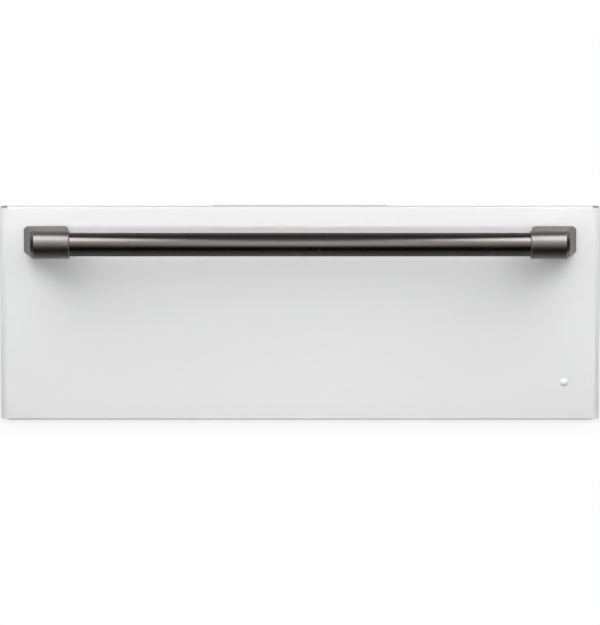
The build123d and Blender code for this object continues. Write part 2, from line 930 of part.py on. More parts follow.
def frontGasket():
    y = (inner_y, frame_y - seal_play)
    inner_half = liner_half + seal_offset
    low, high = cavity_low - seal_offset, cavity_high + seal_offset
    ring = block((-inner_half - seal_width, inner_half + seal_width), y, (low - seal_width, high + seal_width))
    ring = fillet(ring.edges().filter_by(Axis.Y), seal_width)
    hole = block((-inner_half, inner_half), (y[0] - overcut, y[1] + overcut), (low, high))
    return ring - fillet(hole.edges().filter_by(Axis.Y), seal_corner)


# Handle: a tube held in two cast end brackets
def handleScrewPlaces():
    return [facing(side * x, skin_y, handle_z, (0, 1, 0)) for side in (-1, 1) for x in post_screws]


def handleBracket():
    outline = Polyline(
        (post_inner, panel_y),
        (post_outer, panel_y),
        (post_outer - post_slant, handle_y),
        (post_inner, handle_y),
        close=True,
    )
    post = Pos(0, 0, handle_z - post_height / 2) * extrude(make_face(outline), amount=post_height)
    levels = post.edges().group_by(Axis.Z)
    sides = (levels[0] + levels[-1]).filter_by(Axis.X, reverse=True)
    post = chamfer(sides.filter_by(Axis.Y, reverse=True), post_edge)
    levels = post.edges().group_by(Axis.Z)
    post = fillet((levels[0] + levels[-1]).filter_by(Axis.Y), post_edge)
    ferrule = alongX((ferrule_inner, ferrule_outer), handle_y, handle_z, ferrule_radius)
    end = ferrule.faces().sort_by(Axis.X)[-1]
    ferrule = chamfer(end.edges(), ferrule_end_bevel, ferrule_bevel, reference=end)
    ends = ferrule.edges().filter_by(GeomType.CIRCLE).sort_by(Axis.X)
    ferrule = chamfer(ends[0], ferrule_lip)
    bracket = post + ferrule
    socket = (ferrule_inner - overcut, ferrule_inner + socket_depth)
    bracket -= alongX(socket, handle_y, handle_z, bar_radius + socket_play)
    hole = (skin_y - handle_screw_length - overcut, panel_y + overcut)
    for x in post_screws:
        bracket -= alongY(x, hole, handle_z, handle_screw_radius + socket_play)
    return bracket


def handleBar():
    half = ferrule_inner + socket_depth - socket_play
    bar = alongX((-half, half), handle_y, handle_z, bar_radius)
    return bar - alongX((-half - overcut, half + overcut), handle_y, handle_z, bar_radius - bar_wall)


def handleScrews():
    master = screw(handle_screw_head, handle_screw_radius, handle_screw_length)
    return group([place * master for place in handleScrewPlaces()])


# Indicator lamp in the lower right corner of the panel
def indicatorLens():
    dome_radius_full = (lens_radius**2 + lens_crown**2) / (2 * lens_crown)
    ball = Pos(lamp_x, panel_y + dome_radius_full - lens_crown, lamp_z) * Sphere(dome_radius_full)
    reach = 2 * dome_radius_full
    dome = ball - block(
        (lamp_x - reach, lamp_x + reach),
        (panel_y, panel_y + 2 * reach),
        (lamp_z - reach, lamp_z + reach),
    )
    return dome + alongY(lamp_x, (panel_y, panel_y + lens_stem_length), lamp_z, lens_stem_radius)


def indicatorLamp():
    body = alongY(lamp_x, (skin_y, skin_y + lamp_body_length), lamp_z, lamp_body_radius)
    pocket = (skin_y - overcut, panel_y + lens_stem_length + lamp_play)
    return body - alongY(lamp_x, pocket, lamp_z, lens_stem_radius + lamp_play)


# Control strip: bezel, keys and key board
def controlFascia():
    half = control_length / 2
    bezel = block((-half, half), bezel_y, (bezel_low, panel_high))
    bezel = fillet(bezel.edges().filter_by(Axis.Z), bezel_corner)
    skirt_half = half - bezel_lip
    skirt = block((-skirt_half, skirt_half), skirt_y, (board_high, bezel_low))
    hollow_half = skirt_half - skirt_wall
    hollow_y = (skirt_y[0] + skirt_wall, skirt_y[1] - skirt_wall)
    skirt -= block((-hollow_half, hollow_half), hollow_y, (board_high - overcut, bezel_low))
    fascia = bezel + skirt
    window_x, window_y = key_length / 2 + key_play, key_width / 2 + key_play
    for x in key_places:
        fascia -= block(
            (x - window_x, x + window_x),
            (key_y - window_y, key_y + window_y),
            (bezel_low - overcut, panel_high + overcut),
        )
    return fascia


def controlKey(x):
    half_x, half_y = key_length / 2, key_width / 2
    low = panel_high - key_height
    cap = block((x - half_x, x + half_x), (key_y - half_y, key_y + half_y), (low, panel_high))
    cap = fillet(cap.edges().group_by(Axis.Z)[-1], key_round)
    rim = (x - half_x - key_rim, x + half_x + key_rim)
    return cap + block(rim, (key_y - half_y, key_y + half_y), (low, bezel_low - key_rest_gap))


def controlBoard():
    half = control_length / 2 - bezel_lip
    board = block((-half, half), skirt_y, (board_high - board_sheet, board_high))
    for x in key_places:
        board += alongZ(x, key_y, (board_high, board_high + dome_height), dome_radius)
    return board


def controlLead():
    lead_y = panel_y + lead_offset
    turn_z = handle_z + lead_turn_rise
    points = [
        (duct_x, drawer_back, duct_z),
        (duct_x, lead_y, duct_z),
        (duct_x, lead_y, turn_z),
        (duct_x, key_y, turn_z),
        (duct_x, key_y, board_high - board_sheet),
    ]
    return tube(points, lead_bend, lead_radius)


def cableDuct():
    x = (duct_x - duct_width / 2, duct_x + duct_width / 2)
    duct = block(x, (inner_y, drawer_back), (duct_low, drawer_low))
    inside = (x[0] + duct_sheet, x[1] - duct_sheet)
    through = (inner_y - overcut, drawer_back + overcut)
    return duct - block(inside, through, (duct_low + duct_sheet, drawer_low - duct_sheet))


# Drawer box, folded sheets
def boxScrewPlaces():
    x = box_half - drawer_flange / 2
    y = inner_y + drawer_sheet
    heights = (drawer_low + box_screw_low, drawer_high - box_screw_high)
    return [facing(side * x, y, z, (0, 1, 0)) for side in (-1, 1) for z in heights]


def slideScrewPlaces(side):
    rows = spread(slide_front + slide_screw_front, drawer_back - slide_screw_rear, slide_screw_count)
    return [facing(side * box_half, y, slide_z, (-side, 0, 0)) for y in rows]


def drawerSide():
    wall = block((box_half, drawer_half), (inner_y, drawer_back), (drawer_low, drawer_high))
    edge = (box_half - drawer_flange, drawer_half)
    wall += block(edge, (inner_y, drawer_back), (drawer_high - drawer_sheet, drawer_high))
    flange_x = (box_half - drawer_flange, box_half)
    upright = (drawer_low + floor_flange + drawer_sheet, drawer_high)
    wall += block(flange_x, (inner_y, inner_y + drawer_sheet), upright)
    rear = (drawer_back - 2 * drawer_sheet, drawer_back - drawer_sheet)
    wall += block(flange_x, rear, upright)
    return drilled(wall, slideScrewPlaces(1) + boxScrewPlaces(), screw_hole)


def drawerFloor():
    floor = block((-box_half, box_half), (inner_y, drawer_back), (drawer_low, drawer_low + drawer_sheet))
    for side in (-1, 1):
        edge = sorted((side * box_half, side * (box_half - drawer_sheet)))
        floor += block(edge, (inner_y, drawer_back), (drawer_low, drawer_low + floor_flange))
    rows = spread(inner_y + floor_row_inset, drawer_back - floor_row_inset, floor_rows)
    column_half = box_half - floor_column_inset
    columns = spread(-column_half, column_half, floor_columns)
    places = [(x, y, drawer_low) for x in columns for y in rows]
    return floor - slots(places, floor_slot_length, floor_slot_width, (0, 0, 1))


def drawerRearWall():
    inside = box_half - drawer_sheet
    low = drawer_low + drawer_sheet
    y = (drawer_back - drawer_sheet, drawer_back)
    wall = block((-inside, inside), y, (low, drawer_high - drawer_sheet))
    flange_half_x = box_half - drawer_flange
    flange_y = (drawer_back - drawer_flange, drawer_back)
    return wall + block((-flange_half_x, flange_half_x), flange_y, (drawer_high - drawer_sheet, drawer_high))


def drawerScrews():
    slide_screw = screw(screw_head, screw_radius, slide_screw_length)
    box_screw = screw(screw_head, screw_radius, screw_length)
    places = slideScrewPlaces(1) + slideScrewPlaces(-1)
    screws = [place * slide_screw for place in places]
    return group(screws + [place * box_screw for place in boxScrewPlaces()])


# Lift-out serving pan hanging by its rim, and the wire rack in it
pan_half = box_half - drawer_flange - pan_side_gap
pan_y = (inner_y + pan_front_gap, drawer_back - drawer_flange - pan_back_gap)
pan_middle = (pan_y[0] + pan_y[1]) / 2
pan_length = pan_y[1] - pan_y[0]
pan_low = drawer_low + pan_floor_gap
rim_half = drawer_half - rim_inset


def bowl(inset, low, floor_radius):
    top = Pos(0, pan_middle, drawer_high) * RectangleRounded(
        2 * (pan_half - inset), pan_length - 2 * inset, pan_corner - inset
    )
    bottom = Pos(0, pan_middle, low) * RectangleRounded(
        2 * (pan_half - inset - pan_taper), pan_length - 2 * (inset + pan_taper), pan_corner - inset
    )
    shape = loft([bottom, top])
    return fillet(shape.edges().group_by(Axis.Z)[0], floor_radius)


def servingPan():
    hollow = bowl(pan_sheet, pan_low + pan_sheet, pan_floor_radius - pan_sheet)
    pan = bowl(0, pan_low, pan_floor_radius) - hollow
    rim_y = (pan_y[0] - rim_front, pan_y[1] + rim_back)
    rim = Pos(0, (rim_y[0] + rim_y[1]) / 2, drawer_high) * RectangleRounded(
        2 * rim_half, rim_y[1] - rim_y[0], pan_corner
    )
    mouth = Pos(0, pan_middle, drawer_high) * RectangleRounded(
        2 * (pan_half - pan_sheet), pan_length - 2 * pan_sheet, pan_corner - pan_sheet
    )
    return pan + extrude(rim - mouth, amount=pan_sheet)


def servingRack():
    half = pan_half - pan_taper - rack_inset
    y = (pan_y[0] + pan_taper + rack_inset, pan_y[1] - pan_taper - rack_inset)
    floor = pan_low + pan_sheet
    frame_z = floor + rack_foot_height
    loop = Pos(0, pan_middle, frame_z) * RectangleRounded(2 * half, y[1] - y[0], rack_corner)
    path = loop.wire()
    rack = sweep(Plane(origin=path @ 0, z_dir=path % 0) * Circle(rack_frame_radius), path=path)
    wire_z = frame_z + rack_frame_radius + rack_wire_radius - rack_weld
    span = half - rack_corner
    count = int(2 * span / rack_wire_pitch) + 1
    wire_y = (y[0] - rack_wire_over, y[1] + rack_wire_over)
    wires = [alongY(x, wire_y, wire_z, rack_wire_radius) for x in spread(-span, span, count)]
    foot_reach = (y[1] - y[0]) * rack_foot_share
    feet = [
        alongZ(side * half, pan_middle + turn * foot_reach, (floor, frame_z), rack_foot_radius)
        for side in (-1, 1)
        for turn in (-1, 1)
    ]
    return rack + wires + feet


# Every piece under its own name
pieces = {
    "base_pan": basePan(),
    "side_panel_left": otherSide(sidePanel()),
    "side_panel_right": sidePanel(),
    "rear_panel": rearPanel(),
    "top_cover": topCover(),
    "front_frame": frontFrame(),
    "liner_floor": linerFlat(liner_low),
    "liner_ceiling": linerFlat(cavity_high),
    "liner_left": otherSide(linerSide()),
    "liner_right": linerSide(),
    "liner_rear": linerRear(),
    "case_insulation": caseInsulation(),
    "heating_element": heatingElement(),
    "element_clips": elementClips(),
    "element_guard": elementGuard(),
    "temperature_probe": temperatureProbe(),
    "limit_thermostat": limitThermostat(),
    "terminal_block": terminalBlock(),
    "power_board": powerBoard(),
    "access_cover": accessCover(),
    "cord_gland": cordGland(),
    "case_screws": caseScrews(),
    "service_loop": serviceLoop(),
    "slide_outer_left": otherSide(slideOuter()),
    "slide_outer_right": slideOuter(),
    "slide_middle_left": otherSide(slideMiddle()),
    "slide_middle_right": slideMiddle(),
    "slide_inner_left": otherSide(slideInner()),
    "slide_inner_right": slideInner(),
    "ball_cage_outer_left": otherSide(cageOuter()),
    "ball_cage_outer_right": cageOuter(),
    "ball_cage_inner_left": otherSide(cageInner()),
    "ball_cage_inner_right": cageInner(),
    "front_panel": frontPanel(),
    "front_inner_panel": frontInnerPanel(),
    "front_insulation": frontInsulation(),
    "front_gasket": frontGasket(),
    "handle_bar": handleBar(),
    "handle_bracket_left": otherSide(handleBracket()),
    "handle_bracket_right": handleBracket(),
    "handle_screws": handleScrews(),
    "indicator_lens": indicatorLens(),
    "indicator_lamp": indicatorLamp(),
    "control_fascia": controlFascia(),
    "control_board": controlBoard(),
    "control_lead": controlLead(),
    "cable_duct": cableDuct(),
    "vent_shutter": ventShutter(),
    "drawer_side_left": otherSide(drawerSide()),
    "drawer_side_right": drawerSide(),
    "drawer_floor": drawerFloor(),
    "drawer_rear_wall": drawerRearWall(),
    "drawer_screws": drawerScrews(),
    "serving_pan": servingPan(),
    "serving_rack": servingRack(),
}
for key_name, key_x in zip(key_names, key_places):
    pieces[f"key_{key_name}"] = controlKey(key_x)

os.makedirs("parts", exist_ok=True)
for piece_name, piece in pieces.items():
    export_step(piece, f"parts/{piece_name}.step")
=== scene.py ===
import math
import bpy
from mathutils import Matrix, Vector, noise


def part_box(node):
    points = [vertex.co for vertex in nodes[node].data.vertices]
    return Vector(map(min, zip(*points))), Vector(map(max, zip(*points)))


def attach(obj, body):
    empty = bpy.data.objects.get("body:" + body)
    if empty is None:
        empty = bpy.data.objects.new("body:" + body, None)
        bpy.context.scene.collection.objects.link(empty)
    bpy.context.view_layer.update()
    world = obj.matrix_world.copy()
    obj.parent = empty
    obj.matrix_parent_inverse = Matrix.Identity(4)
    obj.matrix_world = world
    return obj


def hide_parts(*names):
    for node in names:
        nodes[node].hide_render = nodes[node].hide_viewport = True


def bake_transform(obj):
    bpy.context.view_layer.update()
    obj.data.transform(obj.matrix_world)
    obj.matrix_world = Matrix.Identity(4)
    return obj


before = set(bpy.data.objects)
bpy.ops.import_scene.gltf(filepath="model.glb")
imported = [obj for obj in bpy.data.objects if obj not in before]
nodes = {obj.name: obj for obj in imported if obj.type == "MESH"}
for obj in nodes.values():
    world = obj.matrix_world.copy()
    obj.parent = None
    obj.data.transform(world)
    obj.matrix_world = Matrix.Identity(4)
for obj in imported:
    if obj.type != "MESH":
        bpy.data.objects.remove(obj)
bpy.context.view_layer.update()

scene = bpy.context.scene
scene.view_settings.view_transform = "Standard"
print("frame loaded,", len(nodes), "nodes")


# Small helpers for shader trees
def newTree(name):
    mat = bpy.data.materials.new(name)
    mat.use_nodes = True
    tree = mat.node_tree
    return mat, tree, tree.nodes["Principled BSDF"]


def addNode(tree, kind, **sockets):
    node = tree.nodes.new(kind)
    for key, value in sockets.items():
        node.inputs[key].default_value = value
    return node


# Texture space in metres, stretched along each axis by its own factor
def stretched(tree, scale):
    coords = tree.nodes.new("ShaderNodeTexCoord")
    mapping = addNode(tree, "ShaderNodeMapping", Scale=scale)
    tree.links.new(coords.outputs["Object"], mapping.inputs["Vector"])
    return mapping.outputs["Vector"]


def noiseOn(tree, scale, detail=3.0, rough=0.5):
    pattern = addNode(tree, "ShaderNodeTexNoise", Scale=1.0, Detail=detail, Roughness=rough)
    tree.links.new(stretched(tree, scale), pattern.inputs["Vector"])
    return pattern.outputs["Fac"]


# From low to high in the source is from dark to light in the result
def ramp(tree, source, low, high, dark, light):
    node = tree.nodes.new("ShaderNodeMapRange")
    for key, value in (("From Min", low), ("From Max", high), ("To Min", dark), ("To Max", light)):
        node.inputs[key].default_value = value
    tree.links.new(source, node.inputs["Value"])
    return node.outputs["Result"]


# A mix of two colours by a factor: the sockets of both and of the result
def colourMix(tree, factor):
    mix = tree.nodes.new("ShaderNodeMix")
    mix.data_type = "RGBA"
    tree.links.new(factor, mix.inputs[0])
    first, second = [socket for socket in mix.inputs if socket.type == "RGBA"]
    result = [socket for socket in mix.outputs if socket.type == "RGBA"][0]
    return first, second, result


# Two tones of one colour, chosen by a noise
def tone(tree, source, dark, light, low=0.35, high=0.65):
    first, second, result = colourMix(tree, ramp(tree, source, low, high, 0.0, 1.0))
    first.default_value = (*dark, 1.0)
    second.default_value = (*light, 1.0)
    return result


def bump(tree, shader, source, strength, distance):
    node = addNode(tree, "ShaderNodeBump", Strength=strength, Distance=distance)
    tree.links.new(source, node.inputs["Height"])
    tree.links.new(node.outputs["Normal"], shader.inputs["Normal"])


# The colour with another one on the faces that look along an axis, from a start to full; it paints the shade
# on the top fold and the light on the inner panel's front.
def turnedFaces(tree, colours, other, turn):
    axis, start, full = turn
    coords = tree.nodes.new("ShaderNodeTexCoord")
    split = tree.nodes.new("ShaderNodeSeparateXYZ")
    tree.links.new(coords.outputs["Normal"], split.inputs["Vector"])
    first, second, result = colourMix(tree, ramp(tree, split.outputs[axis], start, full, 0.0, 1.0))
    tree.links.new(colours, first)
    second.default_value = (*other, 1.0)
    return result


# Roughness that wanders by the spread to each side
def roughness(tree, shader, source, middle, spread, low=0.3, high=0.7):
    levels = ramp(tree, source, low, high, middle - spread, middle + spread)
    tree.links.new(levels, shader.inputs["Roughness"])


def shade(colour, factor):
    return tuple(min(1.0, part * factor) for part in colour)


# The same scale along all three axes
def even(scale):
    return (scale, scale, scale)


# Powder coat: almost even colour, with a fine orange peel. The top fold, the faces that look up, gets
# painted shade: a darker colour that stands in for shade on it.
paintLook = {
    "cloud": 3.0,
    "dark": 0.992,
    "light": 1.004,
    "paintedShadeTurn": ("Z", 0.8, 0.98),
    "spread": 0.03,
    "depth": 0.05,
    "height": 0.0002,
}


def paintFinish(name, colour, rough, peel, foldPaintedShade):
    mat, tree, shader = newTree(name)
    look = paintLook
    cloud = noiseOn(tree, even(look["cloud"]))
    colours = tone(tree, cloud, shade(colour, look["dark"]), shade(colour, look["light"]))
    colours = turnedFaces(tree, colours, shade(colour, foldPaintedShade), look["paintedShadeTurn"])
    tree.links.new(colours, shader.inputs["Base Color"])
    grain = noiseOn(tree, even(peel), detail=2.0)
    roughness(tree, shader, grain, rough, look["spread"])
    bump(tree, shader, grain, look["depth"], look["height"])
    return mat


# Brushed metal: fine scratches drawn out along some axes, and slow cloudy wear.
# Edge is its tint at grazing angles. The front colour, if given, is painted light: a lighter colour on the
# faces that look to the front.
brushLook = {
    "fine": 2600.0,
    "slow": 18.0,
    "low": 0.25,
    "high": 0.75,
    "paintedLightTurn": ("Y", -0.8, -0.98),
    "cloud": 9.0,
    "height": 0.0001,
}


def brushedFinish(name, colour, rough, along, spread=0.06, depth=0.08, contrast=0.08, edge=1.0, front=None):
    mat, tree, shader = newTree(name)
    look = brushLook
    shader.inputs["Metallic"].default_value = 1.0
    shader.inputs["Specular Tint"].default_value = (edge, edge, edge, 1.0)
    scale = tuple(look["slow"] if axis in along else look["fine"] for axis in "XYZ")
    scratch = noiseOn(tree, scale, detail=2.0)
    cloud = noiseOn(tree, even(look["cloud"]), detail=4.0)
    darker, lighter = shade(colour, 1.0 - contrast), shade(colour, 1.0 + contrast)
    colours = tone(tree, scratch, darker, lighter, look["low"], look["high"])
    if front:
        colours = turnedFaces(tree, colours, front, look["paintedLightTurn"])
    tree.links.new(colours, shader.inputs["Base Color"])
    roughness(tree, shader, cloud, rough, spread / 2)
    bump(tree, shader, scratch, depth, look["height"])
    return mat


# Zinc-coated sheet: spangle cells of slightly different brightness
spangleLook = {"dark": 0.9, "light": 1.08, "spread": 0.07, "ripple": 320.0, "depth": 0.04, "height": 0.0003}


def spangleFinish(name, colour, rough, cells):
    mat, tree, shader = newTree(name)
    look = spangleLook
    shader.inputs["Metallic"].default_value = 1.0
    spangle = addNode(tree, "ShaderNodeTexVoronoi", Scale=1.0)
    tree.links.new(stretched(tree, even(cells)), spangle.inputs["Vector"])
    split = tree.nodes.new("ShaderNodeSeparateColor")
    tree.links.new(spangle.outputs["Color"], split.inputs["Color"])
    darker, lighter = shade(colour, look["dark"]), shade(colour, look["light"])
    tree.links.new(tone(tree, split.outputs[0], darker, lighter, 0.0, 1.0), shader.inputs["Base Color"])
    roughness(tree, shader, split.outputs[1], rough, look["spread"], 0.0, 1.0)
    bump(tree, shader, noiseOn(tree, even(look["ripple"])), look["depth"], look["height"])
    return mat


# Moulded plastic: fine spark texture
mouldLook = {"dark": 0.94, "light": 1.05, "spread": 0.05, "height": 0.0002}


def mouldedFinish(name, colour, rough, texture=1400.0, depth=0.12):
    mat, tree, shader = newTree(name)
    look = mouldLook
    grain = noiseOn(tree, even(texture), detail=2.0)
    colours = tone(tree, grain, shade(colour, look["dark"]), shade(colour, look["light"]))
    tree.links.new(colours, shader.inputs["Base Color"])
    roughness(tree, shader, grain, rough, look["spread"])
    bump(tree, shader, grain, depth, look["height"])
    return mat


# Polished wire, balls and plated screws
plateLook = {"smear": 140.0, "dark": 0.93, "light": 1.04, "middle": 1.05, "spread": 0.25}


def platedFinish(name, colour, rough):
    mat, tree, shader = newTree(name)
    look = plateLook
    shader.inputs["Metallic"].default_value = 1.0
    smear = noiseOn(tree, even(look["smear"]), detail=4.0)
    colours = tone(tree, smear, shade(colour, look["dark"]), shade(colour, look["light"]))
    tree.links.new(colours, shader.inputs["Base Color"])
    roughness(tree, shader, smear, rough * look["middle"], rough * look["spread"])
    return mat


# Mineral wool: loose fibres in bands
woolLook = {
    "fibre": (260.0, 900.0, 900.0),
    "clump": (40.0, 40.0, 90.0),
    "dark": 0.78,
    "light": 1.12,
    "rough": 0.95,
    "sheen": 0.3,
    "depth": 0.7,
    "height": 0.0015,
}


def woolFinish(name, colour):
    mat, tree, shader = newTree(name)
    look = woolLook
    fibre = noiseOn(tree, look["fibre"], detail=5.0, rough=0.7)
    clump = noiseOn(tree, look["clump"], detail=3.0)
    colours = tone(tree, clump, shade(colour, look["dark"]), shade(colour, look["light"]))
    tree.links.new(colours, shader.inputs["Base Color"])
    shader.inputs["Roughness"].default_value = look["rough"]
    shader.inputs["Sheen Weight"].default_value = look["sheen"]
    bump(tree, shader, fibre, look["depth"], look["height"])
    return mat


# Element sheath, blued and browned by heat
heatLook = {
    "drift": 14.0,
    "grain": 700.0,
    "metal": 0.85,
    "rough": 0.535,
    "spread": 0.085,
    "depth": 0.15,
    "height": 0.0002,
}


def heatedFinish(name, colour, tint):
    mat, tree, shader = newTree(name)
    look = heatLook
    shader.inputs["Metallic"].default_value = look["metal"]
    drift = noiseOn(tree, even(look["drift"]), detail=4.0)
    tree.links.new(tone(tree, drift, colour, tint), shader.inputs["Base Color"])
    grain = noiseOn(tree, even(look["grain"]))
    roughness(tree, shader, grain, look["rough"], look["spread"])
    bump(tree, shader, grain, look["depth"], look["height"])
    return mat


# Circuit laminate with faint tracks under the lacquer
boardLook = {"tracks": 160.0, "light": 1.5, "rough": 0.4, "depth": 0.2, "height": 0.0001}


def boardFinish(name, colour):
    mat, tree, shader = newTree(name)
    look = boardLook
    tracks = addNode(tree, "ShaderNodeTexBrick", Scale=1.0)
    tree.links.new(stretched(tree, even(look["tracks"])), tracks.inputs["Vector"])
    colours = tone(tree, tracks.outputs["Fac"], colour, shade(colour, look["light"]), 0.0, 1.0)
    tree.links.new(colours, shader.inputs["Base Color"])
    shader.inputs["Roughness"].default_value = look["rough"]
    bump(tree, shader, tracks.outputs["Fac"], look["depth"], look["height"])
    return mat


# White translucent lens
lensLook = {"cloud": 500.0, "dark": 0.97, "rough": 0.12, "scatter": 0.25, "scatterReach": 0.002, "coat": 0.2}


def lensFinish(name, colour):
    mat, tree, shader = newTree(name)
    look = lensLook
    cloud = noiseOn(tree, even(look["cloud"]))
    tree.links.new(tone(tree, cloud, shade(colour, look["dark"]), colour), shader.inputs["Base Color"])
    shader.inputs["Roughness"].default_value = look["rough"]
    shader.inputs["Subsurface Weight"].default_value = look["scatter"]
    shader.inputs["Subsurface Radius"].default_value = even(look["scatterReach"])
    shader.inputs["Coat Weight"].default_value = look["coat"]
    return mat


finishes = {
    # The top fold of the front panel gets painted shade.
    "panelPaint": paintFinish("panelPaint", (0.9, 0.9, 0.9), rough=0.42, peel=700.0, foldPaintedShade=0.66),
    "handleMetal": brushedFinish(
        "handleMetal", (0.165, 0.15, 0.14), rough=0.27, along="YZ",
        spread=0.02, depth=0.004, contrast=0.05, edge=0.16,
    ),
    "bracketMetal": brushedFinish(
        "bracketMetal", (0.205, 0.189, 0.178), rough=0.38, along="YZ",
        spread=0.02, depth=0.008, contrast=0.06, edge=0.72,
    ),
    "galvanised": spangleFinish("galvanised", (0.54, 0.552, 0.565), rough=0.42, cells=110.0),
    "linerSheet": brushedFinish("linerSheet", (0.66, 0.66, 0.65), rough=0.36, along="Y"),
    "drawerSteel": brushedFinish("drawerSteel", (0.64, 0.635, 0.625), rough=0.32, along="Y"),
    # The inner panel's faces that look to the front get painted light, a pale colour seen through the
    # panel's top corner notches.
    "innerSteel": brushedFinish(
        "innerSteel", (0.32, 0.318, 0.314), rough=0.42, along="X",
        edge=0.3, front=(0.9, 0.9, 0.9),
    ),
    "panSteel": brushedFinish("panSteel", (0.7, 0.695, 0.685), rough=0.28, along="X"),
    "rackWire": platedFinish("rackWire", (0.76, 0.77, 0.78), rough=0.14),
    "wool": woolFinish("wool", (0.62, 0.5, 0.27)),
    "elementSheath": heatedFinish("elementSheath", (0.13, 0.12, 0.115), tint=(0.2, 0.15, 0.12)),
    "probeSteel": platedFinish("probeSteel", (0.62, 0.62, 0.61), rough=0.3),
    "thermostatBody": mouldedFinish("thermostatBody", (0.05, 0.05, 0.05), rough=0.5),
    "terminalPlastic": mouldedFinish("terminalPlastic", (0.7, 0.66, 0.54), rough=0.5),
    "boardGreen": boardFinish("boardGreen", (0.03, 0.17, 0.08)),
    "glandNylon": mouldedFinish("glandNylon", (0.03, 0.03, 0.032), rough=0.45),
    "screwZinc": platedFinish("screwZinc", (0.64, 0.65, 0.66), rough=0.28),
    "cableJacket": mouldedFinish("cableJacket", (0.03, 0.03, 0.033), rough=0.6, texture=900.0),
    "slideZinc": brushedFinish("slideZinc", (0.6, 0.615, 0.63), rough=0.3, along="Y", contrast=0.05),
    "ballSteel": platedFinish("ballSteel", (0.7, 0.7, 0.71), rough=0.16),
    "sealSilicone": mouldedFinish("sealSilicone", (0.12, 0.12, 0.125), rough=0.62, texture=600.0),
    "lensWhite": lensFinish("lensWhite", (0.8, 0.8, 0.79)),
    "lampBlack": mouldedFinish("lampBlack", (0.05, 0.05, 0.05), rough=0.5),
    "fasciaGrey": mouldedFinish("fasciaGrey", (0.57, 0.574, 0.578), rough=0.45, depth=0.06),
    "keyGrey": mouldedFinish("keyGrey", (0.72, 0.72, 0.72), rough=0.42, depth=0.06),
}

nodeFinishes = {
    "panelPaint": "front_panel",
    "handleMetal": "handle_bar",
    "bracketMetal": "handle_bracket_left handle_bracket_right",
    "galvanised": "base_pan side_panel_left side_panel_right rear_panel top_cover front_frame access_cover",
    "linerSheet": "liner_floor liner_ceiling liner_left liner_right liner_rear element_guard element_clips",
    "drawerSteel": "drawer_side_left drawer_side_right drawer_floor drawer_rear_wall cable_duct",
    "innerSteel": "front_inner_panel vent_shutter",
    "panSteel": "serving_pan",
    "rackWire": "serving_rack",
    "wool": "case_insulation front_insulation",
    "elementSheath": "heating_element",
    "probeSteel": "temperature_probe",
    "thermostatBody": "limit_thermostat",
    "terminalPlastic": "terminal_block",
    "boardGreen": "power_board control_board",
    "glandNylon": "cord_gland",
    "screwZinc": "case_screws handle_screws drawer_screws",
    "cableJacket": "control_lead service_loop",
    "slideZinc": "slide_outer_left slide_outer_right slide_middle_left slide_middle_right"
                 " slide_inner_left slide_inner_right",
    "ballSteel": "ball_cage_outer_left ball_cage_outer_right ball_cage_inner_left ball_cage_inner_right",
    "sealSilicone": "front_gasket",
    "lensWhite": "indicator_lens",
    "lampBlack": "indicator_lamp",
    "fasciaGrey": "control_fascia",
    "keyGrey": "key_power key_low key_medium key_high",
}
for finish, names in nodeFinishes.items():
    for name in names.split():
        mesh = nodes[name].data
        mesh.materials.clear()
        mesh.materials.append(finishes[finish])
print("finishes on", sum(len(names.split()) for names in nodeFinishes.values()), "nodes")


def addPiece(name, mesh, finish):
    mesh.materials.clear()
    mesh.materials.append(finishes[finish])
    for face in mesh.polygons:
        face.use_smooth = True
    piece = bpy.data.objects.new(name, mesh)
    scene.collection.objects.link(piece)
    return piece


# The mesh of an object with its modifiers, or of a curve, and the object gone
def settled(obj):
    bpy.context.view_layer.update()
    view = bpy.context.evaluated_depsgraph_get()
    mesh = bpy.data.meshes.new_from_object(obj.evaluated_get(view))
    bpy.data.objects.remove(obj)
    return mesh


# Mineral wool batts: the pads' solids with soft edges and lumpy faces, a little inside the solids
battSizes = {
    "voxel": 0.007,
    "smoothing": 5,
    "clear": 0.0005,
    "lump": 0.0016,
    "lumpsPerMetre": 38.0,
    "fill": 0.85,
}


def makeBatt(name, node, body):
    rough = bpy.data.objects.new(name + "Rough", nodes[node].data.copy())
    scene.collection.objects.link(rough)
    remesh = rough.modifiers.new("remesh", "REMESH")
    remesh.mode = "VOXEL"
    remesh.voxel_size = battSizes["voxel"]
    smooth = rough.modifiers.new("smooth", "SMOOTH")
    smooth.iterations = battSizes["smoothing"]
    mesh = settled(rough)
    normals = [vertex.normal.copy() for vertex in mesh.vertices]
    for vertex, normal in zip(mesh.vertices, normals):
        lump = 0.5 + 0.5 * noise.noise(vertex.co * battSizes["lumpsPerMetre"])
        vertex.co -= normal * (battSizes["clear"] + battSizes["lump"] * lump)
    batt = addPiece(name, mesh, "wool")
    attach(batt, body)
    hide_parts(node)


makeBatt("caseBatts", "case_insulation", "cabinet")
makeBatt("frontBatt", "front_insulation", "drawer")
print("insulation batts made")


# A closed section swept along rings of (centre, side, up)
def sweep(name, rings, section, closed):
    points = [centre + side * u + up * v for centre, side, up in rings for u, v in section]
    count = len(section)
    faces = []
    for ring in range(len(rings) if closed else len(rings) - 1):
        here, there = ring * count, (ring + 1) % len(rings) * count
        for k in range(count):
            after = (k + 1) % count
            faces.append((here + k, here + after, there + after, there + k))
    if not closed:
        faces.append(tuple(reversed(range(count))))
        faces.append(tuple(range(len(points) - count, len(points))))
    mesh = bpy.data.meshes.new(name)
    mesh.from_pydata(points, [], faces)
    mesh.validate()
    return mesh


# Silicone seal: a thin foot on the inner panel and a round bulb that meets the case frame
sealSizes = {
    "width": 0.006,
    "corner": 0.005,
    "cornerSteps": 8,
    "foot": 0.0009,
    "neck": 0.0014,
    "bulb": 0.0019,
    "bulbSteps": 14,
    "bulbFrom": math.radians(-40.0),
}


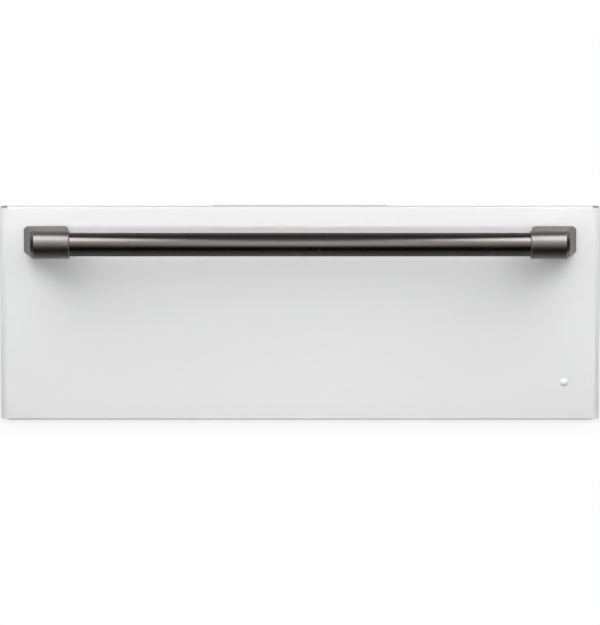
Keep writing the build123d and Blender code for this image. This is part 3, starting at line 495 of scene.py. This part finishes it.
def sealSection(height):
    half, foot, neck = sealSizes["width"] / 2, sealSizes["foot"], sealSizes["neck"]
    bulb, first = sealSizes["bulb"], sealSizes["bulbFrom"]
    section = [(-half, 0.0), (half, 0.0), (half, foot)]
    for step in range(sealSizes["bulbSteps"] + 1):
        angle = first + (math.pi - 2 * first) * step / sealSizes["bulbSteps"]
        section.append((bulb * math.cos(angle), max(neck, height - bulb + bulb * math.sin(angle))))
    return section + [(-half, foot)]


def makeSeal():
    low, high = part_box("front_gasket")
    inset, corner = sealSizes["width"] / 2, sealSizes["corner"]
    far = Vector((0.0, 1.0, 0.0))
    rings = []
    middle = ((low[0] + high[0]) / 2, (low[2] + high[2]) / 2)
    reach = ((high[0] - low[0]) / 2 - inset - corner, (high[2] - low[2]) / 2 - inset - corner)
    for quarter, (sideX, sideZ) in enumerate(((1, 1), (-1, 1), (-1, -1), (1, -1))):
        for step in range(sealSizes["cornerSteps"] + 1):
            angle = (quarter + step / sealSizes["cornerSteps"]) * math.pi / 2
            out = Vector((math.cos(angle), 0.0, math.sin(angle)))
            turn = Vector((middle[0] + sideX * reach[0], low[1], middle[1] + sideZ * reach[1]))
            rings.append((turn + out * corner, out, far))
    mesh = sweep("bulbSeal", rings, sealSection(high[1] - low[1]), True)
    seal = addPiece("bulbSeal", mesh, "sealSilicone")
    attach(seal, "drawer")
    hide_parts("front_gasket")


makeSeal()
print("seal made")

# Service loop: from the power board through the rear wall,
# to and fro on the element guard, into the drawer's duct
loopSizes = {
    "radius": 0.0022,
    "length": 1.09,
    "sides": 12,
    "order": 3,
    "wallY": 0.2135,
    "ductY": 0.165,
    "route": [
        (-0.14, 0.2327, 0.0365),
        (-0.14, 0.205, 0.0362),
        (-0.1123, 0.205, 0.0336),
        (0.129, 0.205, 0.0336),
        (0.14, 0.205, 0.0336),
        (0.14, 0.194, 0.0336),
        (0.129, 0.194, 0.0336),
        (-0.129, 0.194, 0.0336),
        (-0.14, 0.194, 0.0336),
        (-0.14, 0.183, 0.0336),
        (-0.129, 0.183, 0.0336),
        (0.129, 0.183, 0.0336),
        (0.14, 0.183, 0.0336),
        (0.14, 0.172, 0.0336),
        (0.129, 0.172, 0.0336),
        (-0.053, 0.172, 0.0345),
        (-0.06, 0.172, 0.0365),
        (-0.06, 0.165, 0.0365),
    ],
}


def makeLoop():
    curve = bpy.data.curves.new("loopRoute", "CURVE")
    curve.dimensions = "3D"
    spline = curve.splines.new("NURBS")
    spline.points.add(len(loopSizes["route"]) - 1)
    for point, place in zip(spline.points, loopSizes["route"]):
        point.co = (*place, 1.0)
    spline.order_u = loopSizes["order"]
    spline.use_endpoint_u = True
    route = bpy.data.objects.new("loopRoute", curve)
    scene.collection.objects.link(route)
    line = [vertex.co.copy() for vertex in settled(route).vertices]
    rings = []
    for index, centre in enumerate(line):
        ahead = line[min(index + 1, len(line) - 1)] - line[max(index - 1, 0)]
        side = ahead.cross(Vector((0.0, 0.0, 1.0))).normalized()
        rings.append((centre, side, side.cross(ahead).normalized()))
    radius, count = loopSizes["radius"], loopSizes["sides"]
    angles = [math.tau * k / count for k in range(count)]
    section = [(radius * math.cos(angle), radius * math.sin(angle)) for angle in angles]
    loop = addPiece("serviceLoop", sweep("serviceLoop", rings, section, False), "cableJacket")
    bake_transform(loop)
    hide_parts("service_loop")


makeLoop()
print("service loop made")

# Floor, white background and lights
stageSizes = {
    "floorSize": 40.0,
    "floorDrop": 0.0006,
    "floorWhite": 0.22,
    "floorRough": 0.9,
    "contactReach": 0.16,
    "contactShade": 0.84,
    "ambient": 0.1,
}
# The word for a side in a name, and the sign of its x
sides = {"Left": -1, "Right": 1}


# White to the camera, to gloss and through glass, and plain to everything else
def whiteWhereSeen(tree, plain, white):
    path = tree.nodes.new("ShaderNodeLightPath")
    seen = path.outputs["Is Camera Ray"]
    for ray in ("Is Glossy Ray", "Is Transmission Ray"):
        either = addNode(tree, "ShaderNodeMath")
        either.operation = "MAXIMUM"
        tree.links.new(seen, either.inputs[0])
        tree.links.new(path.outputs[ray], either.inputs[1])
        seen = either.outputs[0]
    mix = tree.nodes.new("ShaderNodeMixShader")
    tree.links.new(seen, mix.inputs[0])
    tree.links.new(plain.outputs[0], mix.inputs[1])
    tree.links.new(white.outputs[0], mix.inputs[2])
    return mix.outputs[0]


def makeWorld():
    world = bpy.data.worlds.new("studioWorld")
    world.use_nodes = True
    tree = world.node_tree
    plain = tree.nodes["Background"]
    plain.inputs["Color"].default_value = (1.0, 1.0, 1.0, 1.0)
    plain.inputs["Strength"].default_value = stageSizes["ambient"]
    white = addNode(tree, "ShaderNodeBackground", Color=(1.0, 1.0, 1.0, 1.0), Strength=1.0)
    tree.links.new(whiteWhereSeen(tree, plain, white), tree.nodes["World Output"].inputs["Surface"])
    scene.world = world


def makePlane(name, corners, mat):
    mesh = bpy.data.meshes.new(name)
    mesh.from_pydata(corners, [], [(0, 1, 2, 3)])
    mesh.materials.append(mat)
    plane = bpy.data.objects.new(name, mesh)
    scene.collection.objects.link(plane)
    return plane


# Corners of a level plane, its near and far edge given as y and half width
def levelCorners(near, far, z):
    nearY, nearHalf = near
    farY, farHalf = far
    return [(-nearHalf, nearY, z), (nearHalf, nearY, z), (farHalf, farY, z), (-farHalf, farY, z)]


def uprightCorners(x, y, z):
    return [(x[0], y, z[0]), (x[1], y, z[0]), (x[1], y, z[1]), (x[0], y, z[1])]


def sideCorners(x, y, z):
    return [(x, y[0], z[0]), (x, y[1], z[0]), (x, y[1], z[1]), (x, y[0], z[1])]


# White floor with a soft shadow where the object stands
def makeFloor():
    mat, tree, shader = newTree("floorWhite")
    level = stageSizes["floorWhite"]
    shader.inputs["Base Color"].default_value = (level, level, level, 1.0)
    shader.inputs["Roughness"].default_value = stageSizes["floorRough"]
    contact = addNode(tree, "ShaderNodeAmbientOcclusion", Distance=stageSizes["contactReach"])
    white = addNode(tree, "ShaderNodeEmission", Color=(1.0, 1.0, 1.0, 1.0))
    shadow = ramp(tree, contact.outputs["AO"], 0.0, 1.0, stageSizes["contactShade"], 1.0)
    tree.links.new(shadow, white.inputs["Strength"])
    tree.links.new(whiteWhereSeen(tree, shader, white), tree.nodes["Material Output"].inputs["Surface"])
    half = stageSizes["floorSize"] / 2
    makePlane("floor", levelCorners((-half, half), (half, half), -stageSizes["floorDrop"]), mat)


# Dark cards that only gloss sees, as a studio sets round polished metal.
# A level card has its near and far edge as y and half width.
levelCards = {
    "cardLow": {"near": (-1.7, 0.9), "far": (-0.5, 0.9), "z": 0.002, "grey": 0.0},
    "cardNear": {"near": (-0.5, 0.9), "far": (-0.31, 0.9), "z": 0.002, "grey": 0.22},
    "cardOver": {"near": (-0.405, 0.42), "far": (-0.25, 0.42), "z": 0.45, "grey": 0.1},
    "cardMiddle": {"near": (-0.6, 0.04), "far": (-0.405, 0.34), "z": 0.45, "grey": 0.1},
}
# Upright cards on both sides, given for the right
frontCard = {"x": (0.22, 1.0), "y": -2.0, "z": (0.002, 0.5), "grey": 0.2}
sideCard = {"x": 0.42, "y": (-0.44, -0.3), "z": (0.16, 0.31), "grey": 0.02}


def makeCard(name, corners, grey):
    mat, _, shader = newTree(name)
    shader.inputs["Base Color"].default_value = (grey, grey, grey, 1.0)
    shader.inputs["Roughness"].default_value = 1.0
    shader.inputs["Specular IOR Level"].default_value = 0.0
    card = makePlane(name, corners, mat)
    card.visible_camera = False
    card.visible_diffuse = False
    card.visible_shadow = False
    card.visible_transmission = False


def makeCards():
    for name, card in levelCards.items():
        makeCard(name, levelCorners(card["near"], card["far"], card["z"]), card["grey"])
    for word, side in sides.items():
        across = [side * x for x in frontCard["x"]]
        corners = uprightCorners(across, frontCard["y"], frontCard["z"])
        makeCard("cardFront" + word, corners, frontCard["grey"])
        corners = sideCorners(side * sideCard["x"], sideCard["y"], sideCard["z"])
        makeCard("cardSide" + word, corners, sideCard["grey"])


# The strip boxes, marked shiny, shine on the handle and the lens alone.
# The other lamps give the even soft light.
lamps = {
    "frontBox": {
        "place": (0.0, -1.7, 0.62),
        "target": (0.0, -0.36, 0.23),
        "size": (0.4, 0.95),
        "watts": 1.0,
        "shiny": True,
    },
    "frontLow": {
        "place": (0.0, -3.0, 0.13),
        "target": (0.0, -0.3, 0.05),
        "size": (0.9, 0.22),
        "watts": 0.95,
        "spread": 34.0,
    },
    "frontHigh": {
        "place": (0.0, -2.4, 1.2),
        "target": (0.0, -0.3, 0.14),
        "size": (1.8, 0.9),
        "watts": 12.0,
    },
}

# Lamps that stand on both sides, given for the right
sideLamps = {
    "end": {
        "place": (0.43, -0.775, 0.95),
        "target": (0.38, -0.45, 0.2),
        "size": (0.45, 0.65),
        "watts": 4.3,
        "shiny": True,
    },
    "key": {
        "place": (0.64, -0.66, 0.74),
        "target": (0.36, -0.3, 0.2),
        "size": (0.7, 0.55),
        "watts": 4.1,
    },
    "rear": {
        "place": (0.9, 1.5, 1.3),
        "target": (0.0, 0.1, 0.1),
        "size": (0.8, 0.8),
        "watts": 8.0,
    },
}


def makeLight(name, lamp, shiny, side=1):
    data = bpy.data.lights.new(name, "AREA")
    data.shape = "RECTANGLE"
    data.size, data.size_y = lamp["size"]
    data.energy = lamp["watts"]
    data.spread = math.radians(lamp.get("spread", 180.0))
    place, target = (Vector((side * x, y, z)) for x, y, z in (lamp["place"], lamp["target"]))
    light = bpy.data.objects.new(name, data)
    light.location = place
    light.rotation_euler = (target - place).to_track_quat("-Z", "Y").to_euler()
    light.visible_camera = False
    if lamp.get("shiny"):
        light.light_linking.receiver_collection = shiny
    else:
        light.visible_glossy = False
    scene.collection.objects.link(light)


def makeLights():
    shiny = bpy.data.collections.new("shinyPieces")
    for name in ("handle_bar", "handle_bracket_left", "handle_bracket_right", "indicator_lens"):
        shiny.objects.link(nodes[name])
    for name, lamp in lamps.items():
        makeLight(name, lamp, shiny)
    for word, side in sides.items():
        for name, lamp in sideLamps.items():
            makeLight(name + word, lamp, shiny, side)


makeWorld()
makeFloor()
makeCards()
makeLights()

# Camera, a little above the panel as in the photograph
cameraView = {
    "panelY": -0.3018,
    "panelZ": 0.13795,
    "distance": 6.0,
    "rise": 0.66,
    "aimRise": 0.0014,
    "panelWidth": 0.75565,
    "widthPixels": 600.0,
    "frameHeight": 625.0,
    "sensor": 36.0,
    "farthest": 200.0,
}


def makeCamera():
    view = cameraView
    data = bpy.data.cameras.new("camera")
    data.sensor_width = view["sensor"]  # spans the picture's taller side
    away = math.hypot(view["distance"], view["rise"])
    pixelsFocal = view["widthPixels"] / view["panelWidth"] * away
    data.lens = view["sensor"] * pixelsFocal / view["frameHeight"]
    data.clip_end = view["farthest"]
    camera = bpy.data.objects.new("camera", data)
    camera.location = (0.0, view["panelY"] - view["distance"], view["panelZ"] + view["rise"])
    target = Vector((0.0, view["panelY"], view["panelZ"] + view["aimRise"]))
    camera.rotation_euler = (target - camera.location).to_track_quat("-Z", "Y").to_euler()
    scene.collection.objects.link(camera)
    scene.camera = camera


makeCamera()
print("stage, lights and camera set")
